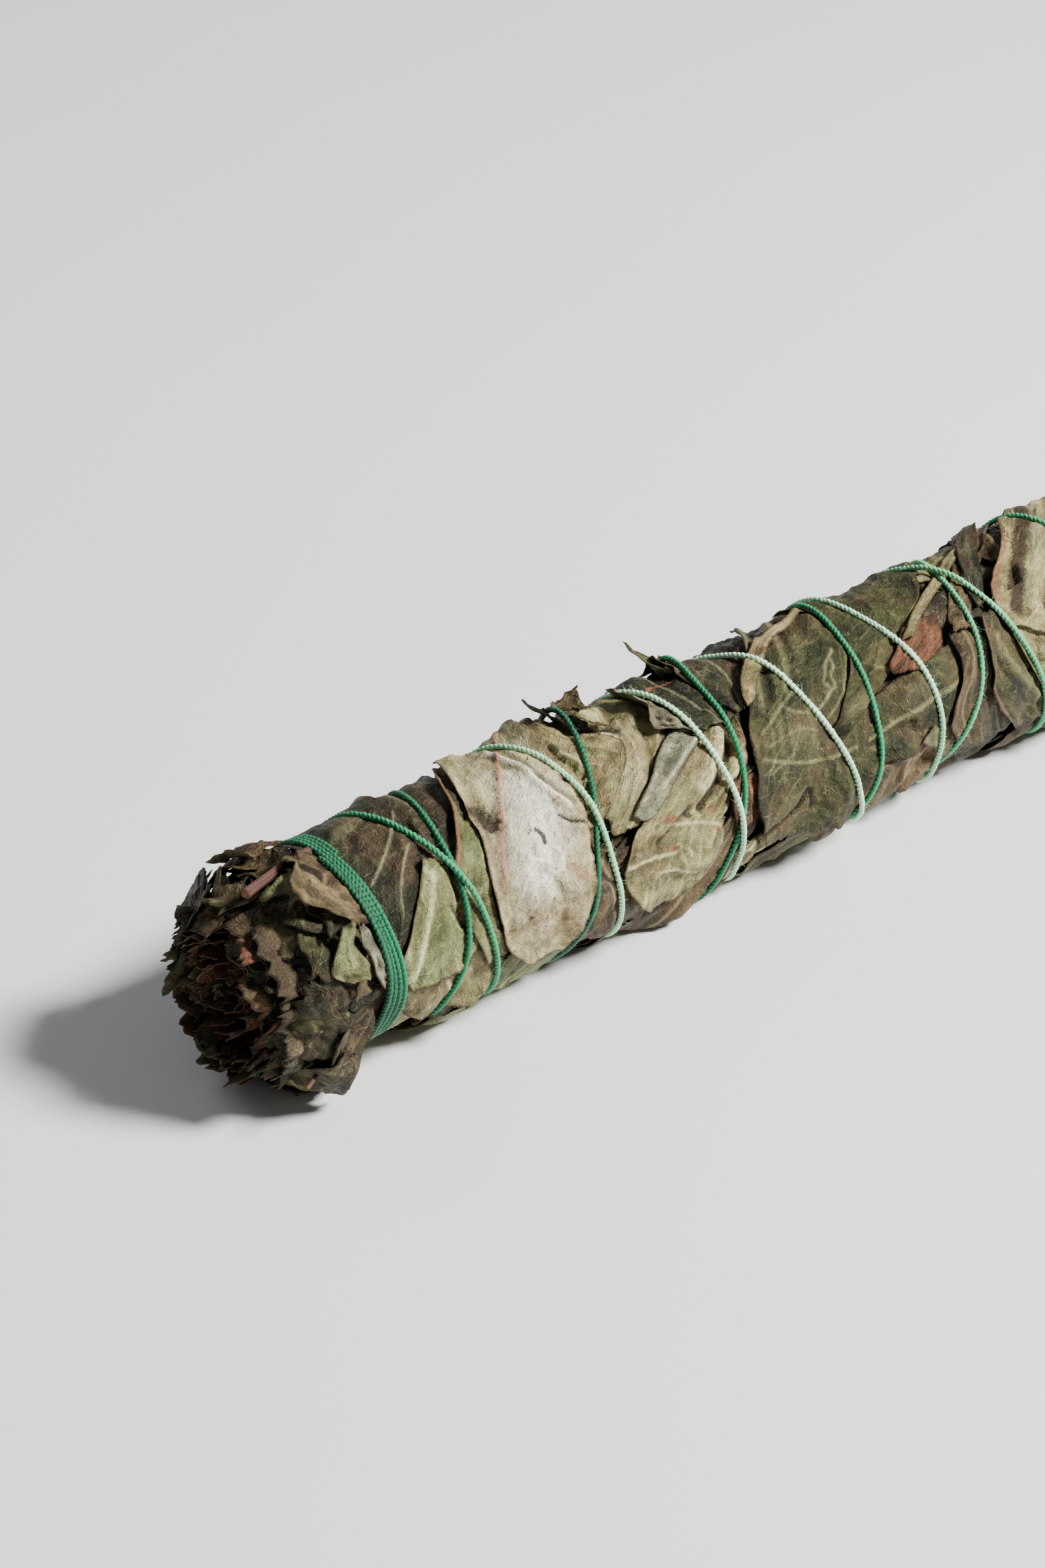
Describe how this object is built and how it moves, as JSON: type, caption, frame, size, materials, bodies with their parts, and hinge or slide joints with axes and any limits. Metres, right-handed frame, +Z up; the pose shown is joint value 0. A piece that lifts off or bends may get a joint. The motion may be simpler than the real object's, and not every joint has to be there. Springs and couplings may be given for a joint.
{
  "type": "bundle of dried sage",
  "caption": "Cylindrical bundle of dried sage: packed stems and leaves, wrapped in broad slanting leaves and bound by crossing spirals of cotton thread.",
  "frame": {"origin": "middle of the bottom of the bundle's box, on the surface that the bundle lies on", "axes": "+X along the bundle from the cut end to the leaf tips, +Z up, the bundle lying on its side"},
  "size_m": [0.22, 0.0378, 0.0355],
  "materials": {
    "leaf_dark": "dry leathery leaf, dark grey-green, veined",
    "leaf_olive": "dry leathery leaf, olive, slightly glossy, fine pale veins",
    "leaf_tan": "dry leaf, tan with red-brown blotches",
    "leaf_pale": "pale felted underside of a dry leaf, pink-brown midrib",
    "leaf_green": "dry leaf, pale grey-green, folded",
    "leaf_brown": "crumpled dry leaf edges, dark brown",
    "stem": "dry herb stem, purple-brown",
    "thread": "two-ply cotton thread, variegated emerald to mint, fuzzy"
  },
  "bodies": {
    "root": {"packed_inner_leaves": "leaf_brown", "stem_1": "stem", "stem_2": "stem", "stem_3": "stem", "stem_4": "stem", "stem_5": "stem", "stem_6": "stem", "stem_7": "stem", "leaf_inner_1": "leaf_dark", "leaf_inner_2": "leaf_tan", "leaf_inner_3": "leaf_dark", "leaf_inner_4": "leaf_olive", "leaf_inner_5": "leaf_brown", "leaf_inner_6": "leaf_dark", "leaf_inner_7": "leaf_olive", "leaf_inner_8": "leaf_brown", "leaf_inner_9": "leaf_olive", "leaf_inner_10": "leaf_dark", "leaf_inner_11": "leaf_dark", "leaf_veined_dark": "leaf_dark", "leaf_petal_green": "leaf_green", "leaf_folded_1": "leaf_brown", "leaf_pale_broad": "leaf_pale", "leaf_folded_2": "leaf_tan", "leaf_tan_spotted": "leaf_tan", "leaf_tan_creased": "leaf_tan", "leaf_olive_small": "leaf_olive", "leaf_olive_broad": "leaf_olive", "leaf_olive_second": "leaf_olive", "leaf_olive_lower": "leaf_olive", "leaf_grooved_1": "leaf_brown", "leaf_pale_right": "leaf_green", "leaf_right_end_1": "leaf_olive", "leaf_right_end_2": "leaf_green", "leaf_back_1": "leaf_olive", "leaf_back_2": "leaf_green", "leaf_back_3": "leaf_pale", "leaf_back_4": "leaf_tan", "leaf_under_1": "leaf_dark", "leaf_under_2": "leaf_dark", "leaf_under_3": "leaf_dark", "leaf_under_4": "leaf_dark", "leaf_under_5": "leaf_dark", "leaf_end_left_1": "leaf_brown", "leaf_end_left_2": "leaf_brown", "leaf_end_left_3": "leaf_brown", "leaf_end_left_4": "leaf_brown", "leaf_end_right_1": "leaf_brown", "leaf_end_right_2": "leaf_brown", "leaf_end_right_3": "leaf_brown", "leaf_end_right_4": "leaf_brown", "thread_band_left": "thread", "thread_band_right": "thread", "thread_returning": "thread", "thread_outward": "thread", "thread_knot": "thread"}
  },
  "joints": []
}
